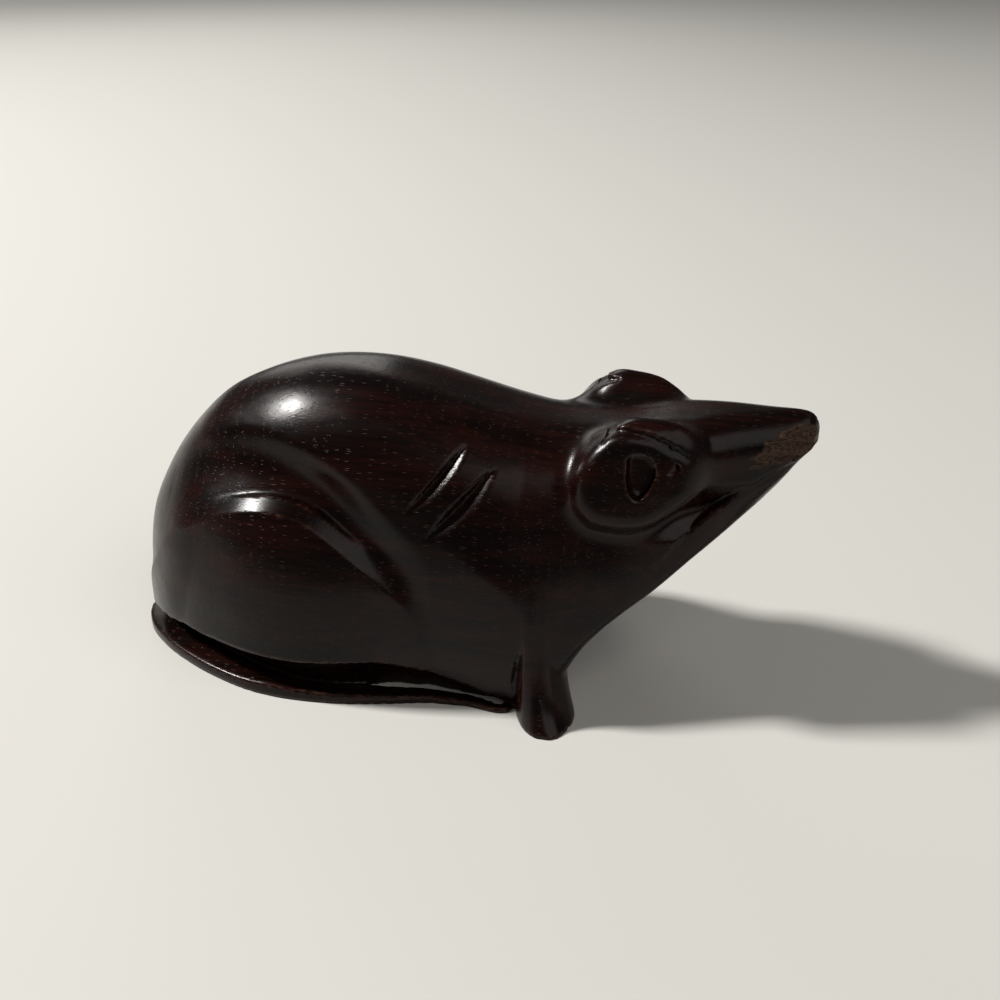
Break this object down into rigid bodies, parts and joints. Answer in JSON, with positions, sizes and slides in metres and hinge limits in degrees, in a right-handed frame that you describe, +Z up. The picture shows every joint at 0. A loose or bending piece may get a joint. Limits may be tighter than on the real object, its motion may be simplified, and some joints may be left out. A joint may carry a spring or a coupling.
{
  "type": "wooden figurine",
  "caption": "Carved dark-hardwood mouse figurine that crouches on a flat base, its tail wrapped along the side and its nose tip chipped off.",
  "frame": {"origin": "middle of the flat underside, on the plane of symmetry of the body", "axes": "+X towards the nose, +Z up, the tail lies along the side of -Y"},
  "size_m": [0.1683, 0.0732, 0.0754],
  "materials": {
    "dark_hardwood": "waxed, satin"
  },
  "bodies": {
    "root": {"carved_mouse": "dark_hardwood"}
  },
  "joints": []
}
